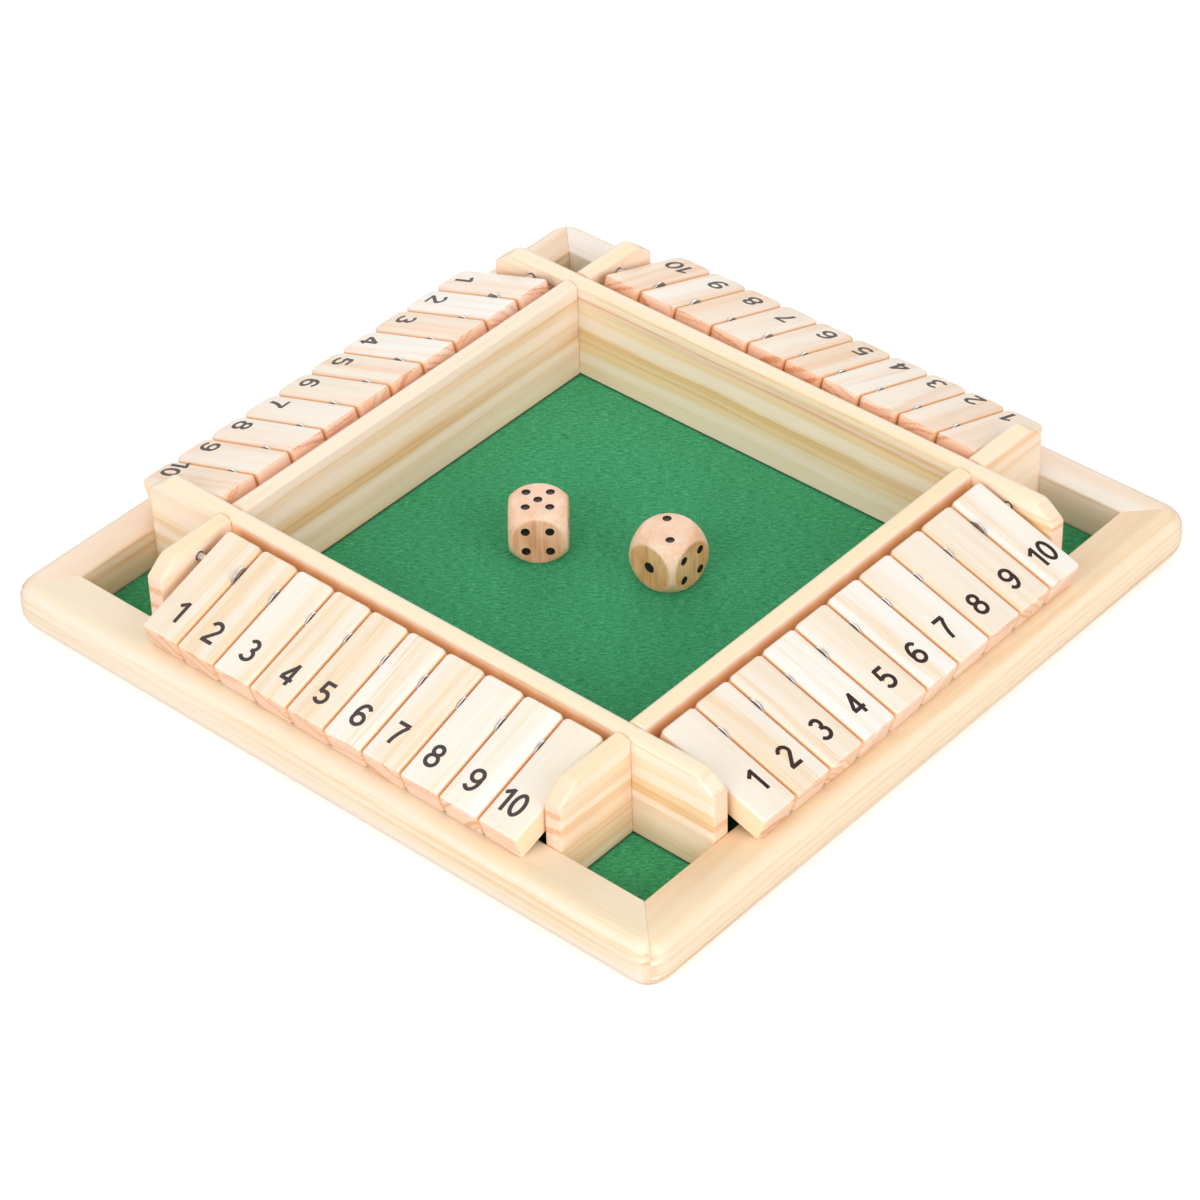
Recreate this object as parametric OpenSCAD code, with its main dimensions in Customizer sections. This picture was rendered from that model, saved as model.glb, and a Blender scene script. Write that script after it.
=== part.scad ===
// Four-player shut the box. A square pine frame holds a felt-lined dice tray in the middle.
// On each of its four sides, ten numbered tiles flip on a steel rod.
// Millimetres, +Z up. The origin is the middle of the underside, and the walls run along X and Y.

/* [Frame] */
// Width of the square opening inside the four rails
opening_w = 200; // [190:1:230]
// Width of each rail, seen from above
rail_w = 14.5; // [14:0.5:22]
// Height of each rail
rail_h = 16; // [15:0.5:20]
// Rounding of the rails' top outer edge
rail_top_r = 6; // [1:0.5:7]
// Rounding of the rails' bottom outer edge
rail_bottom_r = 7; // [1:0.5:7]
// Radius of the frame's outer corners, seen from above
corner_r = 7.5; // [7:0.5:12]

/* [Base] */
// Thickness of the base board
base_t = 2.5; // [2:0.5:4]
// How far the base board sits above the rails' underside
base_recess = 0.5; // [0.3:0.1:1.5]
// How far the rails' rabbet reaches over the edge of the base board
rabbet_w = 5; // [4:0.5:6]
// Clearance between the base board's edge and the rabbet's side
base_clear = 0.25; // [0.1:0.05:0.5]
// Thickness of the felt
felt_t = 1; // [0.6:0.1:2]
// Clearance between the felt's edge and the rails
felt_clear = 0.2; // [0.1:0.05:0.5]

/* [Walls] */
// Inner width of the square dice tray
tray_w = 135.5; // [125:0.5:145]
// Thickness of the inner walls
wall_t = 5.2; // [4.4:0.2:7]
// Height of the walls' top above the rails' top
wall_rise = 19.4; // [17:0.2:24]
// Rounding of the walls' top edges
wall_top_r = 1.8; // [0.5:0.1:2.1]
// Length of the slope at each outer wall end
slope_run = 6.5; // [3:0.5:8]
// Height of the slope at each outer wall end
slope_drop = 5.4; // [2:0.2:7]

/* [Tiles] */
// Number of tiles in each row
tiles_per_row = 10; // [6:1:10]
// Distance from the rails' inner edge to the line where the resting tiles lie on them
tile_rest_in = 7.5; // [5:0.1:8]
// Thickness of a tile
tile_t = 8.2; // [6:0.2:9]
// Distance from a tile's inner end to the rod's axis
pivot_from_end = 10; // [7:0.5:10]
// Depth of the rod's axis below a tile's number face
pivot_depth = 1.8; // [1.6:0.1:3.4]
// Rounding of the tiles' edges
tile_edge_r = 0.9; // [0.3:0.1:1.2]
// Free space between an end tile and the wall beside it
row_end_gap = 1.5; // [0.5:0.1:3]
// Gap under a resting tile's outer edge
tile_rest_gap = 0.15; // [0.05:0.05:0.4]
// How far each row of loose tiles has slid along its rod: front, right, back and left
row_slide = [1, 0.3, -0.9, 1.3]; // [-1.3:0.1:1.3]

/* [Pivots] */
// Diameter of the steel pivot rods
rod_d = 2.2; // [1.6:0.1:2.6]
// Distance from a wall's outer face to the rod's axis
rod_out = 12.5; // [12.2:0.1:13.5]
// Height of the rod's axis above the rails' top
rod_rise = 14.3; // [13:0.1:15]
// Depth of the blind hole that a rod's end sits in
rod_seat = 3.6; // [2:0.2:3.8]
// Clearance between a rod's end and the bottom of its hole
rod_end_clear = 0.2; // [0.1:0.1:0.6]
// Radial clearance of a rod in its wall hole
wall_hole_clear = 0.35; // [0.05:0.05:0.4]
// Radial clearance of a rod in a tile
tile_hole_clear = 0.05; // [0.02:0.01:0.1]
// Outer diameter of the spacer washers
washer_d = 6.6; // [5.6:0.2:7]
// Thickness of the spacer washers
washer_t = 0.5; // [0.3:0.1:0.8]
// Radial clearance of a rod in a washer
washer_hole_clear = 0.1; // [0.05:0.05:0.3]
// Clearance on each side of a washer
washer_play = 0.05; // [0.02:0.01:0.2]

/* [Dice] */
// Width of a die across its flat faces
die_w = 16.5; // [12:0.5:18]
// Diameter of the ball that rounds off the squarer left die
die_left_ball_d = 22.2; // [18.6:0.2:25]
// Diameter of the ball that rounds off the rounder right die
die_right_ball_d = 21.8; // [18.6:0.2:25]
// Distance between a die's outer pips
pip_pitch = 6.7; // [5:0.1:7.4]
// Diameter of the pips
pip_d = 2.4; // [1.6:0.1:3]
// Depth of the pips
pip_depth = 0.4; // [0.2:0.1:0.6]
// Left die's place in the tray, along X
die_left_x = -22.8; // [-50:0.1:-8]
// Left die's place in the tray, along Y
die_left_y = -0.8; // [-50:0.1:50]
// Left die's turn about the vertical
die_left_turn = 40; // [0:1:90]
// Right die's place in the tray, along X
die_right_x = 13.4; // [0:0.1:50]
// Right die's place in the tray, along Y
die_right_y = 11.8; // [-50:0.1:50]
// Right die's turn about the vertical
die_right_turn = 0; // [0:1:90]

/* [Brads] */
// Diameter of the brads that hold the base board
brad_d = 1.1; // [0.8:0.1:1.6]
// Length of the brads
brad_len = 12; // [8:0.5:14]
// Diameter of the brads' heads
brad_head_d = 2.2; // [1.8:0.1:3]
// Thickness of the brads' heads
brad_head_t = 0.5; // [0.3:0.1:0.8]
// Radial clearance of a brad in its pilot hole
brad_clear = 0.03; // [0.01:0.01:0.1]
// Distance between the two brads in each rail and short wall
brad_pitch = 80; // [40:5:110]
// Distance from the long walls' outer brads to the rails
long_wall_brad_in = 12; // [6:1:20]

/* [Hidden] */
ROWS = ["front", "right", "back", "left"];
$fn = 64;

PINE = "#f3dfc1";
PALE_PINE = "#f8ead2";
PLYWOOD = "#e3c79c";
FELT = "#1f7d46";
STEEL = "#c9ccd0";
DICE_WOOD = "#e9c6a4";

// How far a cutting shape runs past what it cuts
past = 1;

outer_half = opening_w / 2 + rail_w;
opening_half = opening_w / 2;
base_top = base_recess + base_t;
felt_top = base_top + felt_t;

tray_half = tray_w / 2;
wall_outer = tray_half + wall_t;
wall_top = rail_h + wall_rise;
wall_h = wall_top - felt_top;

rod_axis = wall_outer + rod_out;
rod_z = rail_h + rod_rise;
rod_len = tray_w + 2 * (rod_seat - rod_end_clear);

tile_gap = washer_t + 2 * washer_play;
tile_w = (tray_w - 2 * row_end_gap - (tiles_per_row - 1) * tile_gap) / tiles_per_row;
tile_pitch = tile_w + tile_gap;
tile_under = tile_t - pivot_depth;

// A resting tile leans outward until its rounded outer edge lies on the rail. The middle of that rounding,
// seen from the rod, gives the tile's length and its lean.
edge_out = opening_half + tile_rest_in - rod_axis;
edge_down = rod_rise - tile_rest_gap - tile_edge_r;
edge_under = tile_under - tile_edge_r;
edge_along = sqrt(edge_out ^ 2 + edge_down ^ 2 - edge_under ^ 2);
tile_out = edge_along + tile_edge_r;
tile_len = pivot_from_end + tile_out;
tile_lean = atan2(edge_down, edge_out) - atan2(edge_under, edge_along);

// A shut tile leans inward until its number face meets the rounded wall top
wall_edge = [rod_out + wall_top_r, wall_rise - rod_rise - wall_top_r];
shut_slope = atan2(wall_edge[1], wall_edge[0])
    + asin((pivot_depth + wall_top_r + tile_rest_gap) / norm(wall_edge));
// Above a corner of the tray, a row's first tile meets the side of the last tile of the row before it, and
// stops there
row_half = tray_half - row_end_gap;
corner_reach = rod_axis - row_half - max(row_slide) - tile_rest_gap - tile_edge_r;
tip = [tile_out - tile_edge_r, pivot_depth - tile_edge_r];
first_shut_slope = acos(corner_reach / norm(tip)) + atan2(tip[1], tip[0]);
echo(tile_w = tile_w, tile_len = tile_len, tile_lean = tile_lean);
echo(shut_turn = tile_lean + 180 - shut_slope, first_shut_turn = tile_lean + 180 - first_shut_slope);

// Places of the brads, from below: through the base board into the rails and the walls
wall_mid = tray_half + wall_t / 2;
stub_mid = (wall_outer + opening_half) / 2;
rail_brads = [for (turn = [0:90:270]) for (along = [-1, 1])
    [turn, along * brad_pitch / 2, opening_half + rabbet_w / 2]];
long_wall_brads = [for (turn = [0, 180]) for (along = [-1, 0, 1])
    [turn, along * (opening_half - long_wall_brad_in), wall_mid]];
short_wall_brads = [for (turn = [90, 270]) for (along = [-1, 1])
    [turn, along * brad_pitch / 2, wall_mid]];
stub_brads = [for (turn = [0, 180]) for (side = [-1, 1]) [turn, side * wall_mid, stub_mid]];
all_brads = concat(rail_brads, long_wall_brads, short_wall_brads, stub_brads);

// The sharp corner outside a rounding of radius r, for cutting from a 2D corner at the origin
module corner_waste(r) {
    difference() {
        translate([-r, -r]) square(r + past);
        translate([-r, -r]) circle(r);
    }
}

// A 2D rectangle from the origin, with all four corners rounded
module rounded_rectangle(size, r) {
    difference() {
        square(size);
        translate(size) corner_waste(r);
        translate([0, size[1]]) mirror([1, 0]) corner_waste(r);
        translate([size[0], 0]) mirror([0, 1]) corner_waste(r);
        rotate(180) corner_waste(r);
    }
}

// One brad with its head down, standing at the origin on the base board's underside
module brad(clear) {
    start = clear > 0 ? -past : 0;
    translate([0, 0, start]) cylinder(r = brad_head_d / 2 + clear, h = brad_head_t + clear - start);
    cylinder(r = brad_d / 2 + clear, h = brad_len + clear);
}

// A list of brads, or with a clearance their pilot holes
module brads(places, clear = 0) {
    for (place = places) {
        rotate([0, 0, place[0]]) translate([place[1], -place[2], base_recess]) brad(clear);
    }
}

// Section of a rail in the XZ plane: inner face at x = 0, rounded edges outside
module rail_section(width) {
    difference() {
        square([width, rail_h]);
        translate([width, rail_h]) corner_waste(rail_top_r);
        translate([width, 0]) mirror([0, 1]) corner_waste(rail_bottom_r);
    }
}

// The right-hand rail, mitred at both ends and rounded at the frame's corners
module rail_shape() {
    straight = outer_half - corner_r;
    far = outer_half + past;
    rabbet = 2 * (opening_half + rabbet_w);
    difference() {
        intersection() {
            union() {
                translate([opening_half, straight, 0]) rotate([90, 0, 0])
                    linear_extrude(2 * straight) rail_section(rail_w);
                for (end = [0, 1]) {
                    mirror([0, end, 0]) translate([straight, straight, 0])
                        rotate_extrude(angle = 90) rail_section(corner_r);
                }
            }
            linear_extrude(rail_h) polygon([[0, 0], [far, -far], [far, far]]);
        }
        translate([0, 0, base_top / 2]) cube([rabbet, rabbet, base_top], center = true);
    }
}

module rail(index) {
    color(PINE) difference() {
        rotate([0, 0, 90 * index - 90]) rail_shape();
        brads(rail_brads, brad_clear);
    }
}

module base_board() {
    half = opening_half + rabbet_w - base_clear;
    color(PLYWOOD) difference() {
        translate([-half, -half, base_recess]) cube([2 * half, 2 * half, base_t]);
        brads(all_brads, brad_clear);
    }
}

module felt_lining() {
    half = opening_half - felt_clear;
    color(FELT) difference() {
        translate([-half, -half, base_top]) cube([2 * half, 2 * half, felt_t]);
        brads(concat(long_wall_brads, short_wall_brads, stub_brads), brad_clear);
    }
}

// Section of a wall across its thickness: inner face at x = 0, rounded top edges
module wall_section() {
    difference() {
        square([wall_t, wall_h]);
        translate([wall_t, wall_h]) corner_waste(wall_top_r);
        translate([0, wall_h]) mirror([1, 0]) corner_waste(wall_top_r);
    }
}

// A wall along X from one place to another, with its inner face at y = -tray_half
module wall_along_x(from_x, to_x) {
    translate([from_x, -tray_half, felt_top]) rotate([90, 0, 90]) mirror([1, 0, 0])
        linear_extrude(to_x - from_x) wall_section();
}

// What the slope takes off a wall end that meets a rail at y = 0 and runs towards -y
module slope_waste() {
    low = wall_top - slope_drop;
    high = wall_top + past;
    translate([-past, 0, 0]) rotate([90, 0, 90]) linear_extrude(wall_t + 2 * past)
        polygon([[-slope_run, wall_top], [0, low], [past, low], [past, high], [-slope_run, high]]);
}

// The blind hole for a rod's end, cut along -x from the face at x = 0
module rod_hole() {
    translate([-rod_seat, 0, 0]) rotate([0, 90, 0])
        cylinder(r = rod_d / 2 + wall_hole_clear, h = rod_seat + past);
}

module long_wall(turn) {
    color(PINE) rotate([0, 0, turn]) difference() {
        wall_along_x(-opening_half, opening_half);
        for (side = [0, 1]) {
            mirror([side, 0, 0]) {
                translate([opening_half, -tray_half, 0]) rotate([0, 0, -90]) slope_waste();
                translate([rod_axis, -tray_half, rod_z]) rotate([0, 0, 90]) rod_hole();
            }
        }
        brads(long_wall_brads, brad_clear);
    }
}

module short_wall(turn) {
    color(PINE) difference() {
        rotate([0, 0, turn]) wall_along_x(-tray_half, tray_half);
        brads(short_wall_brads, brad_clear);
    }
}

// The stub at the front right, or mirrored the one at the front left. The back ones are turned by 180 degrees.
module stub(side, turn) {
    color(PINE) rotate([0, 0, turn]) difference() {
        mirror([side, 0, 0]) difference() {
            rotate([0, 0, 90]) wall_along_x(-opening_half, -wall_outer);
            translate([tray_half + wall_t, -opening_half, 0]) rotate([0, 0, 180]) slope_waste();
            translate([tray_half, -rod_axis, rod_z]) mirror([1, 0, 0]) rod_hole();
        }
        brads(stub_brads, brad_clear);
    }
}

module pivot_rods() {
    color(STEEL) for (turn = [0:90:270]) {
        rotate([0, 0, turn]) translate([-rod_len / 2, -rod_axis, rod_z]) rotate([0, 90, 0])
            cylinder(d = rod_d, h = rod_len);
    }
}

// Where a tile's left side lies along its row
function tile_start(row, number) = row_slide[row] - row_half + (number - 1) * tile_pitch;

module spacer_washers() {
    color(STEEL) for (row = [0:3]) for (number = [2:tiles_per_row]) {
        start = tile_start(row, number) - tile_gap + washer_play;
        rotate([0, 0, 90 * row]) translate([start, -rod_axis, rod_z]) rotate([0, 90, 0])
            difference() {
                cylinder(d = washer_d, h = washer_t);
                translate([0, 0, -past])
                    cylinder(r = rod_d / 2 + washer_hole_clear, h = washer_t + 2 * past);
            }
    }
}

// A tile lying flat, with its pivot on the X axis and its outer end towards -y
module tile_shape() {
    low = [0, -tile_out, -tile_under];
    difference() {
        intersection() {
            translate([-past, low[1], low[2]]) rotate([90, 0, 90])
                linear_extrude(tile_w + 2 * past) rounded_rectangle([tile_len, tile_t], tile_edge_r);
            translate([low[0], -low[1], low[2]]) rotate([90, 0, 0])
                linear_extrude(2 * tile_out) rounded_rectangle([tile_w, tile_t], tile_edge_r);
            translate([low[0], low[1], low[2] - past])
                linear_extrude(tile_t + 2 * past) rounded_rectangle([tile_w, tile_len], tile_edge_r);
        }
        translate([-past, 0, 0]) rotate([0, 90, 0])
            cylinder(r = rod_d / 2 + tile_hole_clear, h = tile_w + 2 * past);
    }
}

module tile(row, number) {
    color(PALE_PINE) rotate([0, 0, 90 * row]) translate([tile_start(row, number), -rod_axis, rod_z])
        rotate([tile_lean, 0, 0]) tile_shape();
}

// Pip places on a face, in half pip pitches
PIPS = [
    [[0, 0]],
    [[-1, 1], [1, -1]],
    [[-1, 1], [0, 0], [1, -1]],
    [[-1, -1], [-1, 1], [1, -1], [1, 1]],
    [[-1, -1], [-1, 1], [0, 0], [1, -1], [1, 1]],
    [[-1, -1], [-1, 0], [-1, 1], [1, -1], [1, 0], [1, 1]]
];
// Turns that bring the top face to the top, the front, the right side and the faces opposite them
FACE_TURNS = [[0, 0, 0], [90, 0, 0], [90, 0, 90], [180, 0, 0], [90, 0, 180], [90, 0, 270]];

// A die resting on the origin. Its numbers are those on top, in front (-y) and on the right (+x).
module die(numbers, ball_d) {
    all_numbers = concat(numbers, [for (number = numbers) 7 - number]);
    color(DICE_WOOD) translate([0, 0, die_w / 2]) difference() {
        intersection() {
            cube(die_w, center = true);
            sphere(d = ball_d);
        }
        for (face = [0:5]) {
            rotate(FACE_TURNS[face]) for (pip = PIPS[all_numbers[face] - 1]) {
                translate([pip[0] * pip_pitch / 2, pip[1] * pip_pitch / 2, die_w / 2 - pip_depth])
                    cylinder(d = pip_d, h = pip_depth + past);
            }
        }
    }
}

module die_left() {
    translate([die_left_x, die_left_y, felt_top]) rotate([0, 0, die_left_turn])
        die([5, 4, 1], die_left_ball_d);
}

module die_right() {
    translate([die_right_x, die_right_y, felt_top]) rotate([0, 0, die_right_turn])
        die([2, 1, 4], die_right_ball_d);
}

rail(0);  // rail_front
rail(1);  // rail_right
rail(2);  // rail_back
rail(3);  // rail_left
base_board();
felt_lining();
long_wall(0);  // long_wall_front
long_wall(180);  // long_wall_back
short_wall(90);  // short_wall_right
short_wall(270);  // short_wall_left
stub(1, 0);  // stub_front_left
stub(0, 0);  // stub_front_right
stub(0, 180);  // stub_back_left
stub(1, 180);  // stub_back_right
pivot_rods();
spacer_washers();
color(STEEL) brads(all_brads);  // base_brads
die_left();
die_right();
for (row = [0:3]) for (number = [1:tiles_per_row]) {
    tile(row, number);
}
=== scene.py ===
# Four-player shut the box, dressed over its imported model: lacquered pine rails, walls and tiles,
# green felt, steel pivots, printed digits and two wooden dice.
# Shapes are worked out in millimetres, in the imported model's frame, and MM turns them to metres.
import math
import bmesh
import bpy
from mathutils import Euler, Matrix, Vector, noise
from mathutils.geometry import delaunay_2d_cdt


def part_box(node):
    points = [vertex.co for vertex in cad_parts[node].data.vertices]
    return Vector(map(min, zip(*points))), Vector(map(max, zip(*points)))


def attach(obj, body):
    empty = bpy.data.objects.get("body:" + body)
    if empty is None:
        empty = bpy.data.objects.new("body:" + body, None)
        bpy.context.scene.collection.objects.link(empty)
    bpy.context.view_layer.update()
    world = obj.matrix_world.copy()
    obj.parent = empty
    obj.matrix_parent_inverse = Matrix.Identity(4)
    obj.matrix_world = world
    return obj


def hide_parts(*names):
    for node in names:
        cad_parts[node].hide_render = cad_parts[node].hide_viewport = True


MM = 0.001
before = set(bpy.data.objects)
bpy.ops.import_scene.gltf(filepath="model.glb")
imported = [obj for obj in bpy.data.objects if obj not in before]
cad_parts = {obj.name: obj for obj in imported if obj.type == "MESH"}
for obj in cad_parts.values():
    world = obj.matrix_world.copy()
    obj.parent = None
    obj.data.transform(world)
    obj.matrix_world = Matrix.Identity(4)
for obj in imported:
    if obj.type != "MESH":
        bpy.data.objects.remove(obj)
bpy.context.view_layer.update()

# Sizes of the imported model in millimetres
ROWS = ("front", "right", "back", "left")
OPENING_HALF = 100
RAIL_WIDE, RAIL_HIGH = 14.5, 16
RABBET_WIDE, RABBET_HIGH = 5, 3
# How far the frame's outer corner starts to bend past the corner of its opening
FRAME_BEND = 7
# The walls' face towards the tray, and the blind holes for the rods
WALL_FACE = 67.75
SEAT_RADIUS, SEAT_DEPTH = 1.45, 3.6
# The sloped end of a wall or stub, and how far from such an end and from a plain one its rings lie
SLOPE_RUN, SLOPE_DROP = 6.5, 5.4
SLOPE_RINGS = [0, 0.06, 0.18, 0.45, 1.5, 2.5, 3.5, 4.5, 5.5, 6, 6.3, 6.6, 7, 7.6, 8.6, 10.5]
PLAIN_RINGS = [0, 0.3]
# The rods' distance from the middle of the game, and their height
ROD_AXIS, ROD_HEIGHT = 85.45, 30.3
# Tiles, with how far each reaches out and in from its rod, and how far the rod lies under its number face
TILE_LEAN = math.radians(18.6567)
TILE_OUT, TILE_IN = 26.03, 10
TILE_WIDTH, TILE_THICKNESS = 12.71, 8.2
TILE_PITCH = 13.31
TILE_BORE = 2.3
PIVOT_DEPTH = 1.8
# Where the first tile of a row starts, and how far each row is slid along its rod
ROW_START = -66.25
ROW_SLIDE = {"front": 1, "right": 0.3, "back": -0.9, "left": 1.3}
WASHER_RADIUS, WASHER_HALF = 3.3, 0.25
# A wall's worn top edge, as (distance from its face, distance under its top)
WORN_EDGE = [(0, 1.2), (0.05, 0.95), (0.2, 0.75), (0.45, 0.57), (0.9, 0.32), (1.35, 0.13), (1.8, 0.03),
             (2.2, 0)]
# Edges sharper than this are shaded hard
SHARP = math.radians(30)


# ---- Shapes ----

def arc(centre, radii, start, end, steps):
    """Points along an ellipse's arc, from one angle in degrees to another."""
    angles = [math.radians(start + (end - start) * i / steps) for i in range(steps + 1)]
    return [(centre[0] + radii[0] * math.cos(a), centre[1] + radii[1] * math.sin(a)) for a in angles]


def circle(radius, centre=(0, 0)):
    """24 points round a circle."""
    return arc(centre, (radius, radius), 0, 345, 23)


def row_turn(turns):
    """The turn that brings the front row's shapes to another row, in quarter turns."""
    return Matrix.Rotation(math.radians(90 * turns), 4, "Z")


def packed_box(node):
    """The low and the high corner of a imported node, in millimetres."""
    return [Vector(corner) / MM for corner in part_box(node)]


def make_piece(name, points, faces, finishes, place=Matrix.Identity(4)):
    """A new piece from points in millimetres, moved to its place."""
    mesh = bpy.data.meshes.new(name)
    mesh.from_pydata([place @ Vector(p) * MM for p in points], [], faces)
    for finish in finishes:
        mesh.materials.append(finish)
    made = bpy.data.objects.new(name, mesh)
    bpy.context.collection.objects.link(made)
    tidy_faces(made)
    return made


def tidy_faces(piece):
    """Turn the faces outward and shade them smoothly up to their sharp edges."""
    work = bmesh.new()
    work.from_mesh(piece.data)
    bmesh.ops.recalc_face_normals(work, faces=work.faces)
    work.to_mesh(piece.data)
    work.free()
    piece.data.shade_smooth()
    piece.data.set_sharp_from_angle(angle=SHARP)


def loft_faces(rings, around):
    """Faces that join rings of points in order, with a flat face at each end."""
    faces = []
    for ring in range(rings - 1):
        for i in range(around):
            a, b = ring * around + i, ring * around + (i + 1) % around
            faces.append((a, b, b + around, a + around))
    last = (rings - 1) * around
    return faces + [tuple(range(around)), tuple(range(last, last + around))]


def make_loft(name, rings, finish, place):
    """A new closed piece that runs through rings of points."""
    points = [point for ring in rings for point in ring]
    return make_piece(name, points, loft_faces(len(rings), len(rings[0])), [finish], place)


def cut_away(piece, cutter):
    """Cut one shape out of a piece for good. The cut faces take the cutter's finish."""
    cut = piece.modifiers.new("cut", "BOOLEAN")
    cut.operation, cut.solver, cut.object = "DIFFERENCE", "EXACT", cutter
    whole = piece.evaluated_get(bpy.context.evaluated_depsgraph_get())
    mesh = bpy.data.meshes.new_from_object(whole)
    piece.modifiers.clear()
    piece.data = mesh
    bpy.data.objects.remove(cutter)
    tidy_faces(piece)


def mark_grain(piece, place, middle, heart):
    """Keep each point's place in its board: across, up and along the grain, from the tree's heart.
    The board lies along X where it is made, with its middle line at the given distance."""
    to_board = Matrix(((0, 1, 0, middle), (0, 0, 1, 0), (1, 0, 0, 0), (0, 0, 0, 1))) @ place.inverted()
    marks = piece.data.attributes
    marks.new("grain", "FLOAT_VECTOR", "POINT")
    marks.new("end_grain", "FLOAT", "POINT")
    turn = to_board.to_3x3()
    for i, vertex in enumerate(piece.data.vertices):
        marks["grain"].data[i].vector = to_board @ (vertex.co / MM) + Vector(heart)
        marks["end_grain"].data[i].value = abs((turn @ vertex.normal)[2])


def hand_over(piece, body, slot, *nodes):
    """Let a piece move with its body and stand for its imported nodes."""
    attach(piece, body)
    if nodes:
        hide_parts(*nodes)


# ---- Surfaces ----

def srgb(code):
    """An sRGB hex colour as linear light."""
    parts = [int(code[i:i + 2], 16) / 255 for i in (1, 3, 5)]
    return [p / 12.92 if p <= 0.04045 else ((p + 0.055) / 1.055) ** 2.4 for p in parts] + [1]


def new_surface(name):
    """A material without nodes yet, and its node tree."""
    surface = bpy.data.materials.new(name)
    surface.use_nodes = True
    surface.node_tree.nodes.clear()
    return surface, surface.node_tree


def add(tree, kind, inputs=(), **settings):
    """Add a node with its settings and inputs. A node given as an input is linked by its first output."""
    made = tree.nodes.new("ShaderNode" + kind)
    for name, value in settings.items():
        if name == "stops":
            ramp = made.color_ramp.elements
            while len(ramp) < len(value):
                ramp.new(1)
            for element, (position, colour) in zip(ramp, value):
                element.position, element.color = position, colour
        else:
            setattr(made, name, value)
    for key, value in dict(inputs).items():
        if isinstance(value, bpy.types.Node):
            value = next(out for out in value.outputs if out.enabled)
        if isinstance(value, bpy.types.NodeSocket):
            tree.links.new(value, made.inputs[key])
        else:
            made.inputs[key].default_value = value
    return made


def pine_figure(tree, grain, ends, tones, ring, strength):
    """Growth bands and fibres of sawn pine. grain is in mm from the tree's heart, with the fibres along Z.
    tones are the early wood, the late wood, its dark line, the end grain and the lines across it.
    Returns the colour and the fibres."""
    early, late, line, end, end_line = [srgb(tone) for tone in tones]
    slow = add(tree, "VectorMath", {0: grain, 1: (0.05, 0.05, 0.007)}, operation="MULTIPLY")
    wander = add(tree, "TexNoise", {"Vector": slow, "Scale": 1, "Detail": 2})
    bowed = add(tree, "VectorMath", {0: wander.outputs["Color"], 1: (6, 6, 0), 2: grain},
                operation="MULTIPLY_ADD")
    across = add(tree, "VectorMath", {0: bowed, 1: (1, 1, 0)}, operation="MULTIPLY")
    radius = add(tree, "VectorMath", {0: across}, operation="LENGTH")
    fine = add(tree, "VectorMath", {0: grain, 1: (2.2, 2.2, 0.05)}, operation="MULTIPLY")
    fibres = add(tree, "TexNoise", {"Vector": fine, "Scale": 1, "Detail": 4, "Roughness": 0.65})
    feathered = add(tree, "Math", {0: fibres, 1: 2.8, 2: radius}, operation="MULTIPLY_ADD")
    years = add(tree, "Math", {0: feathered, 1: ring}, operation="DIVIDE")
    bands = add(tree, "TexNoise", {"W": years, "Scale": 1, "Detail": 1, "Roughness": 0.5},
                noise_dimensions="1D")
    banded = add(tree, "ValToRGB", {0: bands},
                 stops=[(0.40, early), (0.50, late), (0.56, line), (0.62, late), (0.70, early)])
    broad = add(tree, "VectorMath", {0: grain, 1: (0.07, 0.07, 0.007)}, operation="MULTIPLY")
    drift = add(tree, "TexNoise", {"Vector": broad, "Scale": 1, "Detail": 2})
    shown = add(tree, "MapRange", {"Value": drift, "From Min": 0.38, "From Max": 0.6,
                                   "To Min": 0.3 * strength, "To Max": strength},
                interpolation_type="SMOOTHSTEP")
    figured = add(tree, "Mix", {0: shown, 6: early, 7: banded}, data_type="RGBA")
    patches = add(tree, "ValToRGB", {0: bands},
                  stops=[(0.4, end), (0.52, end), (0.57, end_line), (0.62, end), (0.75, srgb("#fae6d4"))])
    ended = add(tree, "MapRange", {"Value": ends, "From Min": 0.35, "From Max": 0.7},
                interpolation_type="SMOOTHSTEP")
    whole = add(tree, "Mix", {0: ended, 6: figured, 7: patches}, data_type="RGBA")
    shade = add(tree, "MapRange", {"Value": fibres, "From Min": 0.3, "From Max": 0.7,
                                   "To Min": 0.94, "To Max": 1.03})
    colour = add(tree, "VectorMath", {0: whole, "Scale": shade}, operation="SCALE")
    return colour, fibres


def lacquered(tree, colour, fibres, roughness=0.42):
    """A thin satin lacquer: a soft sheen with the fibres just felt through it."""
    relief = add(tree, "Bump", {"Height": fibres, "Strength": 0.25, "Distance": 0.00004})
    wood = add(tree, "BsdfPrincipled", {"Base Color": colour, "Roughness": roughness, "Normal": relief,
                                        "Coat Weight": 0.12, "Coat Roughness": 0.3})
    add(tree, "OutputMaterial", {"Surface": wood})


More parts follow.
